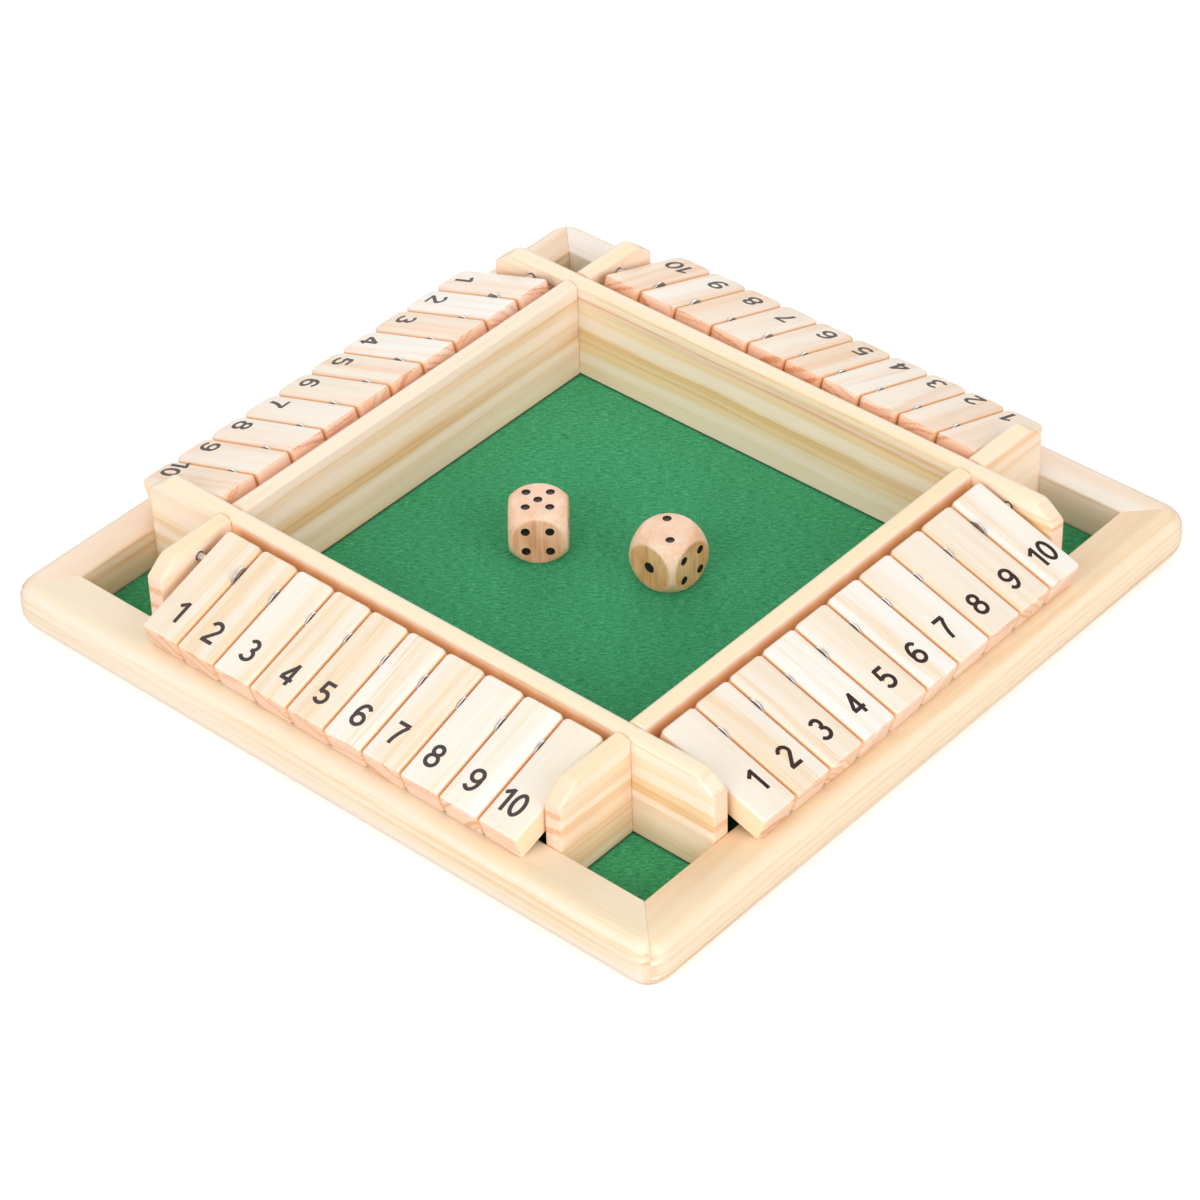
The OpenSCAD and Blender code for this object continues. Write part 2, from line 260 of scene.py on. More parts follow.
def paint_crevice_shade(tree, place, colour, tone):
    """Painted shade low on a wall's outer side, where it faces the inner ends of the tiles: a deeper amber
    tone for the shade and the light bounced in the crevice.
    """
    where = place.outputs["Object"]
    outward = add(tree, "VectorMath", {0: where, 1: place.outputs["Normal"]}, operation="DOT_PRODUCT")
    outer = add(tree, "MapRange", {"Value": outward.outputs["Value"], "From Min": 0.045, "From Max": 0.07})
    spread = add(tree, "VectorMath", {0: where}, operation="ABSOLUTE")
    spread = add(tree, "SeparateXYZ", {0: spread})
    nearer = add(tree, "Math", {0: spread.outputs["X"], 1: spread.outputs["Y"]}, operation="MINIMUM")
    beside = add(tree, "Math", {0: nearer, 1: (WALL_FACE - 0.05) * MM}, operation="LESS_THAN")
    low = add(tree, "MapRange", {"Value": spread.outputs["Z"], "From Min": CREVICE_START * MM,
                                 "From Max": CREVICE_FULL * MM})
    crevice_shade_mask = add(tree, "Math", {0: outer, 1: beside}, operation="MULTIPLY")
    crevice_shade_mask = add(tree, "Math", {0: crevice_shade_mask, 1: low}, operation="MULTIPLY")
    return add(tree, "Mix", {0: crevice_shade_mask, 6: colour, 7: srgb(tone)}, data_type="RGBA")


def planed_pine(name, tones, ring, strength, lit_top_tone, fade, crevice=None):
    """Planed and lacquered pine. It gives long soft stripes of early and late wood, 2 to 8 mm apart.
    The faces that look up take a paler tone, painted light, and fade is how far it covers the figure."""
    surface, tree = new_surface(name)
    grain = add(tree, "Attribute", attribute_name="grain")
    ends = add(tree, "Attribute", attribute_name="end_grain")
    colour, fibres = pine_figure(tree, grain.outputs["Vector"], ends.outputs["Fac"], tones, ring, strength)
    place = add(tree, "TexCoord")
    upward = add(tree, "SeparateXYZ", {0: place.outputs["Normal"]})
    lit_top_mask = add(tree, "MapRange", {"Value": upward.outputs["Z"], "From Min": 0.5, "From Max": 0.95,
                                   "To Max": fade}, interpolation_type="SMOOTHSTEP")
    tinted = add(tree, "Mix", {0: lit_top_mask, 6: colour, 7: srgb(lit_top_tone)}, data_type="RGBA")
    # Painted shade low on the walls' outer sides, by the tiles' inner ends
    if crevice:
        tinted = paint_crevice_shade(tree, place, tinted, crevice)
    lacquered(tree, tinted, fibres)
    return surface


def sanded_pine_tiles(row, turns):
    """Pale sanded pine of one row of tiles. Each tile is its own offcut, with its own rings and its own tint.
    The sawn sides between the tiles are a warm tan, painted shade and light bounced in the narrow gaps, and
    those at a row's ends a paler one."""
    surface, tree = new_surface("sanded_pine_tiles_" + row)
    place = add(tree, "TexCoord")
    corner = row_turn(turns) @ Vector((ROW_START + ROW_SLIDE[row], -ROD_AXIS, ROD_HEIGHT))
    flat = add(tree, "Mapping", {"Vector": place.outputs["Object"], "Location": corner * MM,
                                 "Rotation": (TILE_LEAN, 0, math.radians(90 * turns)),
                                 "Scale": (MM, MM, MM)}, vector_type="TEXTURE")
    parts = add(tree, "SeparateXYZ", {0: flat})
    count = add(tree, "Math", {0: parts.outputs["X"], 1: (TILE_PITCH - TILE_WIDTH) / 2}, operation="ADD")
    count = add(tree, "Math", {0: count, 1: TILE_PITCH}, operation="DIVIDE")
    count = add(tree, "Math", {0: count}, operation="FLOOR")
    across = add(tree, "Math", {0: count, 1: -TILE_PITCH, 2: parts.outputs["X"]}, operation="MULTIPLY_ADD")
    seed = add(tree, "Math", {0: count, 1: 31.7 * turns + 3.3}, operation="ADD")
    chance = add(tree, "TexWhiteNoise", {"W": seed}, noise_dimensions="1D")
    board = add(tree, "CombineXYZ", {"X": across, "Y": parts.outputs["Z"], "Z": parts.outputs["Y"]})
    heart = add(tree, "VectorMath", {0: chance.outputs["Color"], 1: (50, 26, 400), 2: (-31, 14, -200)},
                operation="MULTIPLY_ADD")
    grain = add(tree, "VectorMath", {0: board, 1: heart}, operation="ADD")
    lean = (row_turn(turns) @ Matrix.Rotation(TILE_LEAN, 4, "X")).to_3x3()
    facing = []
    for axis in ((0, 1, 0), (1, 0, 0)):
        way = add(tree, "VectorMath", {0: place.outputs["Normal"], 1: lean @ Vector(axis)},
                  operation="DOT_PRODUCT")
        facing.append(add(tree, "Math", {0: way}, operation="ABSOLUTE"))
    ends, sides = facing
    colour, fibres = pine_figure(tree, grain, ends, TILE_TONES[row], 4.4, 0.9)
    tint = add(tree, "Mix", {0: chance.outputs["Value"], 6: srgb("#ffffff"), 7: srgb("#fbf0e2")},
               data_type="RGBA")
    tinted = add(tree, "Mix", {0: 1.0, 6: colour, 7: tint}, data_type="RGBA", blend_type="MULTIPLY")
    # Painted shade: the side faces between tiles take a warmer tan than the sawn tan at the row's ends
    sawn = add(tree, "MapRange", {"Value": sides, "From Min": 0.6, "From Max": 0.95},
               interpolation_type="SMOOTHSTEP")
    between = add(tree, "Math", {0: parts.outputs["X"], 1: -ROW_START, 2: -ROW_START - 0.95},
                  operation="COMPARE")
    sawn_tone_and_gap_shade = add(tree, "Mix", {0: between, 6: srgb("#f8dcb8"), 7: srgb("#fccb9a")}, data_type="RGBA")
    gap_shaded = add(tree, "Mix", {0: sawn, 6: tinted, 7: sawn_tone_and_gap_shade}, data_type="RGBA")
    lacquered(tree, gap_shaded, fibres, 0.48)
    return surface


def needled_felt():
    """Needled wool felt: short fibres laid mostly one way, in soft lighter and darker wisps about 2 mm long
    and 0.5 mm wide, with finer grit. Along the foot of the walls, stubs and rails it is darker: painted
    shade."""
    surface, tree = new_surface("needled_wool_felt")
    place = add(tree, "TexCoord")
    laid = add(tree, "Mapping", {"Vector": place.outputs["Object"], "Rotation": (0, 0, math.radians(-42)),
                                 "Scale": (1 / MM, 1 / MM, 1 / MM)})
    wander = add(tree, "TexNoise", {"Vector": laid, "Scale": 0.12, "Detail": 2})
    bent = add(tree, "VectorMath", {0: wander.outputs["Color"], 1: (4, 4, 0), 2: laid},
               operation="MULTIPLY_ADD")
    wisp_scale = add(tree, "VectorMath", {0: bent, 1: (0.45, 1.8, 1)}, operation="MULTIPLY")
    wisps = add(tree, "TexNoise", {"Vector": wisp_scale, "Scale": 1, "Detail": 5, "Roughness": 0.7})
    grit_scale = add(tree, "VectorMath", {0: bent, 1: (1.4, 4, 1)}, operation="MULTIPLY")
    grit = add(tree, "TexNoise", {"Vector": grit_scale, "Scale": 1, "Detail": 3, "Roughness": 0.65})
    both = add(tree, "Mix", {0: 0.45, 2: wisps, 3: grit}, data_type="FLOAT")
    colour = add(tree, "ValToRGB", {0: both},
                 stops=[(0.36, srgb("#15713f")), (0.47, srgb("#339a64")), (0.54, srgb("#42af79")),
                        (0.65, srgb("#66c99c"))])
    out = add(tree, "VectorMath", {0: place.outputs["Object"]}, operation="ABSOLUTE")
    out = add(tree, "SeparateXYZ", {0: out})
    # The stops lie on a scale from 60 mm, 0, to 100 mm, 1, out from the middle
    open_felt, shade_at_wall, shade_at_rail = [1, 1, 1, 1], [0.35, 0.35, 0.35, 1], [0.4, 0.4, 0.4, 1]
    shaded = colour
    # Painted shade: each pass darkens the felt along the foot of the walls, stubs and rails
    for way in ("MAXIMUM", "MINIMUM"):
        reach = add(tree, "Math", {0: out.outputs["X"], 1: out.outputs["Y"]}, operation=way)
        wall = add(tree, "MapRange", {"Value": reach, "From Min": 0.06, "From Max": 0.1})
        painted_foot_shade = add(tree, "ValToRGB", {0: wall},
                     stops=[(0.17, open_felt), (0.19, shade_at_wall), (0.325, shade_at_wall), (0.345, open_felt),
                            (0.97, open_felt), (0.995, shade_at_rail)])
        shaded = add(tree, "Mix", {0: 1.0, 6: shaded, 7: painted_foot_shade}, data_type="RGBA", blend_type="MULTIPLY")
    relief = add(tree, "Bump", {"Height": both, "Strength": 0.8, "Distance": 0.0004})
    wool = add(tree, "BsdfPrincipled", {"Base Color": shaded, "Roughness": 0.95, "Normal": relief,
                                        "Sheen Weight": 0.12, "Sheen Roughness": 0.5,
                                        "Specular IOR Level": 0.15})
    add(tree, "OutputMaterial", {"Surface": wool})
    return surface


def tumbled_beech(name, middle, half, turn, side_shade_tones):
    """Tumbled beech of a die: a peach tone, and duller tan on the upright flat sides, where fine upright
    grain lines 0.5 mm apart show. The duller tan is painted shade on the sides."""
    surface, tree = new_surface(name)
    place = add(tree, "TexCoord")
    own = add(tree, "Mapping", {"Vector": place.outputs["Object"], "Location": middle * MM,
                                "Rotation": (0, 0, math.radians(turn)), "Scale": (MM, MM, MM)},
              vector_type="TEXTURE")
    lines_scale = add(tree, "VectorMath", {0: own, 1: (1.9, 1.9, 0.09)}, operation="MULTIPLY")
    lines = add(tree, "TexNoise", {"Vector": lines_scale, "Scale": 1, "Detail": 3, "Roughness": 0.6})
    cloud_scale = add(tree, "VectorMath", {0: own, 1: (0.16, 0.16, 0.11)}, operation="MULTIPLY")
    clouds = add(tree, "TexNoise", {"Vector": cloud_scale, "Scale": 1, "Detail": 2})
    both = add(tree, "Mix", {0: 0.5, 2: lines, 3: clouds}, data_type="FLOAT")
    smooth = add(tree, "ValToRGB", {0: both},
                 stops=[(0.34, srgb("#efb892")), (0.5, srgb("#f8cfb0")), (0.64, srgb("#fde0c8"))])
    shaded_side_tone = add(tree, "ValToRGB", {0: both},
               stops=[(at, srgb(tone)) for at, tone in zip((0.34, 0.47, 0.6), side_shade_tones)])
    spread = add(tree, "VectorMath", {0: own}, operation="ABSOLUTE")
    spread = add(tree, "SeparateXYZ", {0: spread})
    widest = add(tree, "Math", {0: spread.outputs["X"], 1: spread.outputs["Y"]}, operation="MAXIMUM")
    # Painted shade: the upright flat sides take the duller tan
    flat = add(tree, "MapRange", {"Value": widest, "From Min": half - 0.14, "From Max": half - 0.03})
    colour = add(tree, "Mix", {0: flat, 6: smooth, 7: shaded_side_tone}, data_type="RGBA")
    relief = add(tree, "Bump", {"Height": lines, "Strength": 0.2, "Distance": 0.00005})
    wood = add(tree, "BsdfPrincipled", {"Base Color": colour, "Roughness": 0.5, "Normal": relief,
                                        "Coat Weight": 0.1, "Coat Roughness": 0.35})
    add(tree, "OutputMaterial", {"Surface": wood})
    return surface


def brushed_paint(name, code, roughness):
    """Paint or ink in a thin coat: one dark tone, with a faint mottle where it lies thinner on the wood."""
    surface, tree = new_surface(name)
    place = add(tree, "TexCoord")
    mottle = add(tree, "TexNoise", {"Vector": place.outputs["Object"], "Scale": 1400, "Detail": 3})
    thin = add(tree, "MapRange", {"Value": mottle, "From Min": 0.4, "From Max": 0.75, "To Max": 0.08})
    colour = add(tree, "Mix", {0: thin, 6: srgb(code), 7: srgb("#a08a80")}, data_type="RGBA")
    relief = add(tree, "Bump", {"Height": mottle, "Strength": 0.15, "Distance": 0.00003})
    paint = add(tree, "BsdfPrincipled", {"Base Color": colour, "Roughness": roughness, "Normal": relief,
                                         "Specular IOR Level": 0.25})
    add(tree, "OutputMaterial", {"Surface": paint})
    return surface


def bright_steel(name, roughness, grain, dark, light):
    """Bright plain steel, with the fine mottle that drawing or pressing leaves in its gloss. grain is its
    fineness per metre."""
    surface, tree = new_surface(name)
    place = add(tree, "TexCoord")
    mottle = add(tree, "TexNoise", {"Vector": place.outputs["Object"], "Scale": grain, "Detail": 3})
    gloss = add(tree, "MapRange", {"Value": mottle, "To Min": roughness - 0.08, "To Max": roughness + 0.12})
    colour = add(tree, "ValToRGB", {0: mottle}, stops=[(0.3, srgb(dark)), (0.7, srgb(light))])
    steel = add(tree, "BsdfPrincipled", {"Base Color": colour, "Metallic": 1.0, "Roughness": gloss})
    add(tree, "OutputMaterial", {"Surface": steel})
    return surface


def peeled_plywood():
    """Rotary-cut birch plywood of the base: a broad wavy figure with fine dark pores."""
    surface, tree = new_surface("peeled_birch_plywood")
    place = add(tree, "TexCoord")
    scaled = add(tree, "VectorMath", {0: place.outputs["Object"], 1: (6, 60, 60)}, operation="MULTIPLY")
    figure = add(tree, "TexNoise", {"Vector": scaled, "Scale": 1, "Detail": 4, "Distortion": 1.5})
    pores_scale = add(tree, "VectorMath", {0: place.outputs["Object"], 1: (160, 2600, 2600)},
                      operation="MULTIPLY")
    pores = add(tree, "TexNoise", {"Vector": pores_scale, "Scale": 1, "Detail": 2})
    both = add(tree, "Mix", {0: 0.35, 2: figure, 3: pores}, data_type="FLOAT")
    colour = add(tree, "ValToRGB", {0: both},
                 stops=[(0.32, srgb("#d8b88a")), (0.5, srgb("#e6cba2")), (0.66, srgb("#eed9b8"))])
    relief = add(tree, "Bump", {"Height": pores, "Strength": 0.3, "Distance": 0.00005})
    wood = add(tree, "BsdfPrincipled", {"Base Color": colour, "Roughness": 0.65, "Normal": relief})
    add(tree, "OutputMaterial", {"Surface": wood})
    return surface


# Tones of pine: early wood, late wood, its dark line, end grain and the lines across it
RAIL_TONES = {
    "front": ("#f4e4d2", "#eed6b0", "#e4be8e", "#f2d2b6", "#e0ae80"),
    "right": ("#f5dfc2", "#e9c094", "#dcaa78", "#f0ccae", "#dcaa7c"),
    "back": ("#f9ecde", "#f6e0c8", "#eecca8", "#f4d2b6", "#e0ae80"),
    "left": ("#f9e2c8", "#f4d1aa", "#ecbd92", "#f4cdb0", "#dcaa7c"),
}
LONG_WALL_TONES = ("#ffe9d4", "#f8d8ac", "#ebbe88", "#f9d4ba", "#e4ae84")
SHORT_WALL_TONES = ("#ffe6d2", "#f5cea6", "#e8b480", "#f9d4ba", "#e4ae84")
STUB_TONES = ("#ffe8d0", "#fcd8b2", "#f2c69a", "#f9d4bc", "#e2a880")
TILE_TONES = {
    "front": ("#f9f7f1", "#f9efdd", "#f5deba", "#f3d2bc", "#e0a478"),
    "right": ("#f9f5ee", "#f7e8d2", "#f2d6b2", "#f4d4be", "#e0a478"),
    "back": ("#fff6ea", "#fde5cf", "#f6cfa9", "#fbd2b6", "#df9a68"),
    "left": ("#fffaf1", "#ffebd9", "#fad6b6", "#fcd6be", "#e09e74"),
}
# Each rail's ring width, the paler tone of its top, painted light, and how far that covers the figure, and
# its tree's heart
RAIL_RINGS = {"front": 5.2, "right": 2.6, "back": 4.4, "left": 4.4}
RAIL_LIT_TOPS = {"front": ("#f4e4c4", 0.55), "right": ("#f2d9b0", 0.5), "back": ("#f8eddc", 0),
               "left": ("#f9e2c8", 0)}
RAIL_HEARTS = {"front": (-6, 17, 0), "right": (9, 24, 500), "back": (-14, 15, 1000), "left": (4, 29, 1500)}
# The painted shade low on the walls' outer sides by the tiles' inner ends, an amber tone for shade and
# bounced light, and the heights under which it starts and is full
CREVICE_SHADE = "#fcc890"
CREVICE_START, CREVICE_FULL = 34.2, 32.4
PINE = "planed_lacquered_pine_"
RAIL_PINE = {row: planed_pine(PINE + row + "_rail", RAIL_TONES[row], RAIL_RINGS[row], 0.9, *RAIL_LIT_TOPS[row])
             for row in ROWS}
# The walls' and stubs' tops take a paler tone: painted light
LONG_WALL_PINE = planed_pine(PINE + "long_walls", LONG_WALL_TONES, 6, 1, "#f7e7c4", 0.75, CREVICE_SHADE)
SHORT_WALL_PINE = {side: planed_pine(PINE + name + "_wall", SHORT_WALL_TONES, 8, 1, lit_top_tone, 0.75, CREVICE_SHADE)
                   for side, name, lit_top_tone in ((-1, "left", "#f7ebd2"), (1, "right", "#f7e3b6"))}
STUB_PINE = planed_pine(PINE + "stubs", STUB_TONES, 6, 1, "#f7e5ba", 0.6)
FELT = needled_felt()
PIP_PAINT = brushed_paint("black_pip_paint", "#151216", 0.35)
# One ink, given a tone per row for how its print looks in each row's light: painted light and shade
INKS = {row: brushed_paint("printed_ink_" + row, tone, 0.5)
        for row, tone in zip(ROWS, ("#46393a", "#2a1413", "#3a3133", "#3a3133"))}
WIRE = bright_steel("drawn_steel_wire", 0.3, 900, "#b9bcc1", "#dcdee1")
WASHER_RIM = bright_steel("pressed_steel_washer_rims", 0.28, 700, "#aaa4a2", "#d2cccc")
# The washers' flat faces are a darker brownish steel: painted shade and reflection of the wood in the gaps
# between the tiles
WASHER_FACE_SHADE = bright_steel("steel_washer_faces_painted_shade", 0.5, 700, "#94867e", "#b8aca4")
PLYWOOD = peeled_plywood()


# ---- Frame ----

def rail_profile(shrink=0):
    """A rail's section as (distance from its inner face, height), taken in by the shrink."""
    points = arc((0.6, RAIL_HIGH - 0.6), (0.6 - shrink, 0.6 - shrink), 180, 90, 4)
    points += arc((RAIL_WIDE - 6, RAIL_HIGH - 6), (6 - shrink, 6 - shrink), 90, 0, 14)
    points += arc((RAIL_WIDE - 7, 7), (7 - shrink, 7 - shrink), 0, -90, 14)
    wide, high = RABBET_WIDE + shrink, RABBET_HIGH + shrink
    return points + [(wide + 0.3, shrink), (wide, 0.3), (wide, high), (shrink, high)]


def along_rail(inward, travel):
    """Where a line of the rail is after some travel past the opening's corner, round the frame's corner."""
    if inward <= FRAME_BEND or travel <= FRAME_BEND:
        return OPENING_HALF + travel, OPENING_HALF + inward
    radius = inward - FRAME_BEND
    angle = (travel - FRAME_BEND) / radius
    centre = OPENING_HALF + FRAME_BEND
    return centre + radius * math.sin(angle), centre + radius * math.cos(angle)


def rail_ring(end, shrink, travel):
    """One ring of a rail. travel turns a line's way to the mitre into how far the ring lies along it."""
    ring = []
    for inward, height in rail_profile(shrink):
        to_mitre = inward if inward <= FRAME_BEND else FRAME_BEND + (inward - FRAME_BEND) * math.pi / 4
        x, y = along_rail(inward, travel(to_mitre))
        ring.append((end * x, -y, height))
    return ring


def make_rail(row, turns):
    """A mitred rail with rounded edges, and a fine chamfer at each mitre so that the joint shows."""
    chamfer, steps = 0.12, 8
    rings = []
    for end in (-1, 1):
        half = []
        for i in range(steps + 1):
            # From 1 mm short of the opening's corner to the mitre
            step = i / steps
            half.append(rail_ring(end, 0, lambda way: (way + 1) * step - 1 - chamfer * step))
        half.append(rail_ring(end, chamfer, lambda way: way))
        rings += half[::-1] if end < 0 else half
    turn = row_turn(turns)
    rail = make_loft(row + "_rail", rings, RAIL_PINE[row], turn)
    mark_grain(rail, turn, OPENING_HALF + FRAME_BEND, RAIL_HEARTS[row])
    hand_over(rail, "frame", "pine_frame", "rail_" + row)


def wall_rings(length, foot, top, thick, slopes):
    """Rings of a wall along X with worn top edges. A sloped end falls to the rail with softened edges."""
    ring_places = []
    for at_far_end, sloped in enumerate(slopes):
        soft = 0.4 if sloped else 0.3
        for place in SLOPE_RINGS if sloped else PLAIN_RINGS:
            left = max(soft - place, 0)
            inset = soft - math.sqrt(soft * soft - left * left)
            drop = SLOPE_DROP * (SLOPE_RUN - place) / SLOPE_RUN
            past_slope = place == SLOPE_RINGS[-1]
            fall = (drop + math.sqrt(drop * drop + 0.2)) / 2 if sloped and not past_slope else 0
            ring_places.append((length - place if at_far_end else place, inset, fall))
    rings = []
    for x, inset, fall in sorted(ring_places):
        half, high = thick / 2 - inset, top - fall - inset
        worn = 1 - 0.6 * min(fall / 1.2, 1)
        edge = [(half - worn * y, high - worn * z) for y, z in WORN_EDGE]
        section = edge + [(-y, z) for y, z in reversed(edge)]
        section += [(-half, foot + 0.2), (0.2 - half, foot), (half - 0.2, foot), (half, foot + 0.2)]
        rings.append([(x, y, z) for y, z in section])
    return rings


def make_wall(name, node, slopes, holes, heart, pine):
    """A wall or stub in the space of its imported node. holes are the rod seats on its long faces."""
    low, high = packed_box(node)
    size = high - low
    middle = (low + high) / 2
    turn = row_turn(0 if size.x > size.y else 1)
    length, thick = max(size.x, size.y), min(size.x, size.y)
    place = Matrix.Translation((middle.x, middle.y, 0)) @ turn @ Matrix.Translation((-length / 2, 0, 0))
    wall = make_loft(name, wall_rings(length, low.z, high.z, thick, slopes), pine, place)
    for seat, along in holes:
        rod_line = Matrix.Translation(seat) @ Vector(along).to_track_quat("Z", "X").to_matrix().to_4x4()
        shaft = [[(x, y, z) for x, y in circle(SEAT_RADIUS)] for z in (-1, SEAT_DEPTH)]
        cut_away(wall, make_loft("drill", shaft, pine, rod_line))
    mark_grain(wall, place, 0, heart)
    hand_over(wall, "frame", "pine_wall", node)


def make_felt():
    """One sheet of felt on the base board, under the walls: a closed slab with a softly uneven top."""
    low, high = packed_box("felt_lining")
    cells, nap, tucked = 200, 0.06, 0.3
    points, faces = [], []
    for row in range(cells + 1):
        for column in range(cells + 1):
            x = low.x + (high.x - low.x) * column / cells
            y = low.y + (high.y - low.y) * row / cells
            rough = noise.noise((x * 0.8, y * 0.8, 3)) * 0.6 + noise.noise((x * 0.2, y * 0.2, 9)) * 0.4
            edge = min(row, column, cells - row, cells - column)
            points.append((x, y, high.z - nap + nap * rough - (tucked if edge == 0 else 0)))
    side = cells + 1
    for row in range(cells):
        for column in range(cells):
            a = row * side + column
            faces.append((a, a + 1, a + side + 1, a + side))
    rim = list(range(side)) + [i * side + cells for i in range(1, side)]
    rim += [cells * side + i for i in range(cells - 1, -1, -1)] + [i * side for i in range(cells - 1, 0, -1)]
    base = len(points)
    points += [(points[i][0], points[i][1], low.z) for i in rim]
    for i in range(len(rim)):
        j = (i + 1) % len(rim)
        faces.append((rim[i], base + i, base + j, rim[j]))
    faces.append(tuple(range(base, base + len(rim))))
    felt = make_piece("felt_sheet", points, faces, [FELT])
    hand_over(felt, "frame", "green_felt", "felt_lining")


# How far each of a row's nine washers hangs below the rod's middle line, from tile 1 on
HANG = {
    "front": (0, 1.0, 1.3, 1.35, 1.45, 1.3, 1.45, 1.1, 1.3),
    "right": (1.35, 1.1, 1.4, 1.1, 1.1, 1.4, 1.35, 1.2, 0.3),
    "back": (1.45, 1.45, 1.45, 1.4, 1.4, 0.95, 1.2, 0.9, 0.6),
    "left": (0.7, 1.45, 1.45, 1.15, 1.45, 1.45, 1.45, 1.45, 1.45),
}


def make_washers():
    """The 36 pressed washers, which hang on the rods between the tiles, some lower than others."""
    around = 48
    points, faces = [], []
    for turns, row in enumerate(ROWS):
        turn = row_turn(turns)
        for gap, hang in enumerate(HANG[row]):
            middle = ROW_START + ROW_SLIDE[row] + gap * TILE_PITCH + (TILE_WIDTH + TILE_PITCH) / 2
            base = len(points)
            hole, flat, rim = 1.2 + hang, WASHER_HALF, WASHER_HALF - 0.08
            rings = ((-flat, WASHER_RADIUS - 0.1), (-rim, WASHER_RADIUS), (rim, WASHER_RADIUS),
                     (flat, WASHER_RADIUS - 0.1), (flat, hole), (-flat, hole))
            for along, radius in rings:
                for y, z in arc((-ROD_AXIS, ROD_HEIGHT - hang), (radius, radius), 0, 352.5, around - 1):
                    points.append(turn @ Vector((middle + along, y, z)))
            for ring in range(len(rings)):
                this, following = base + ring * around, base + (ring + 1) % len(rings) * around
                for i in range(around):
                    j = (i + 1) % around
                    faces.append((this + i, this + j, following + j, following + i))
    washers = make_piece("hanging_washers", points, faces, [WASHER_RIM, WASHER_FACE_SHADE])
    for number, face in enumerate(washers.data.polygons):
        # The flat faces take the darker finish: painted shade and reflection
        face.material_index = number // around % 6 in (3, 5)
    hand_over(washers, "frame", "steel", "spacer_washers")


for turns, row in enumerate(ROWS):
    make_rail(row, turns)
make_washers()
make_felt()
for side in (-1, 1):
    name = "front" if side < 0 else "back"
    seats = [((x, side * WALL_FACE, ROD_HEIGHT), (0, side, 0)) for x in (-ROD_AXIS, ROD_AXIS)]
    make_wall(name + "_long_wall", "long_wall_" + name, (True, True), seats,
              (3, 25.5 - 20.5 * side, 90 * side), LONG_WALL_PINE)
    name = "left" if side < 0 else "right"
    make_wall(name + "_short_wall", "short_wall_" + name, (False, False), [],
              (3, 71, 700 * side), SHORT_WALL_PINE[side])
    for end in (-1, 1):
        row = "front" if end < 0 else "back"
        node = f"stub_{row}_{name}"
        seat = ((side * WALL_FACE, end * ROD_AXIS, ROD_HEIGHT), (side, 0, 0))
        slopes = (True, False) if end < 0 else (False, True)
        make_wall(f"{row}_{name}_stub", node, slopes, [seat],
                  (3, 49 + 10 * end, 300 * end + 90 * side), STUB_PINE)
for node, finish in (("pivot_rods", WIRE), ("base_brads", WIRE), ("base_board", PLYWOOD)):
    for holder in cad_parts[node].material_slots:
        holder.material = finish


# ---- Tiles and their digits ----

# The width of the pen, and each number's strokes, with the middle of its foot at the origin
STROKE = 1.12
DIGIT_HIGH = 7
ONE = [[(0.75, 0), (0.75, DIGIT_HIGH)], [(-1.25, 5.05), (0.75, 6.6)]]
SIX_STEM = arc((0.25, 3.6), (1.9, 2.97), 205, 42, 16)
DIGITS = {
    1: ONE,
    2: [arc((0, 4.95), (1.6, 1.62), 165, -28, 16) + [(-1.62, 0.5)], [(-1.95, 0.43), (2, 0.43)]],
    3: [arc((-0.05, 5.12), (1.4, 1.45), 152, -90, 18), arc((-0.05, 2.1), (1.72, 1.67), 90, -155, 20)],
    4: [[(0.85, 0), (0.85, DIGIT_HIGH)], [(0.95, 6.6), (-1.72, 2.15)], [(-2.05, 1.85), (2, 1.85)]],
    5: [[(-1.3, 6.57), (1.65, 6.57)], [(-1.1, 6.9), (-1.42, 3.3)],
        [(-1.42, 3.35)] + arc((0, 2.2), (1.72, 1.77), 128, -152, 20)],
    6: [arc((0, 2.12), (1.65, 1.69), 0, 360, 28), SIX_STEM],
    7: [[(-1.85, 6.57), (1.9, 6.57)], [(1.6, 6.3), (0.75, 4.9), (0.1, 3.4), (-0.35, 1.8), (-0.55, 0)]],
    8: [arc((0, 5.2), (1.4, 1.37), 0, 360, 26), arc((0, 2.12), (1.7, 1.69), 0, 360, 28)],
    9: [arc((0, 4.88), (1.65, 1.69), 0, 360, 28), [(-x, DIGIT_HIGH - y) for x, y in SIX_STEM]],
    10: [[(x - 2.75, y) for x, y in stroke] for stroke in ONE]
        + [arc((1.45, 3.5), (1.55, 3.07), 0, 360, 32)],
}
# How round the outer corners of each row's tiles are sanded
END_CORNER = {"front": 1.1, "right": 1.4, "back": 2.8, "left": 3.2}
# Each printed digit's place: off its tile's middle, and its own middle in from the tile's outer end
PRINTED = {
    "front": ((0.46, 8.9), (-0.07, 8.4), (-0.44, 9.2), (0.8, 9.0), (-0.29, 9.15), (-0.44, 8.9), (-1.36, 9.5),
              (-1.63, 9.2), (-1.11, 8.95), (-1.2, 8.8)),
    "right": ((1.7, 10.1), (0.46, 9.9), (0.42, 10.0), (0.41, 9.5), (0.1, 9.9), (-0.33, 9.85), (-0.83, 10.1),
              (-0.92, 9.6), (-0.36, 9.5), (0.86, 9.1)),
    "back": ((2.2, 6.1), (1.5, 5.4), (0.8, 6.4), (0.35, 6.5), (-0.4, 7.3), (-0.9, 7.6), (-0.5, 9.1),
             (-0.6, 8.05), (-0.9, 8.1), (0.46, 8.5)),
    "left": ((-0.7, 6.8), (-1.1, 7.5), (-1.5, 7.4), (-0.9, 6.35), (-1.5, 7.3), (-1.4, 7.4), (-1.8, 7.4),
             (-1.9, 6.4), (-2.4, 6.4), (-2.2, 6.0)),
}


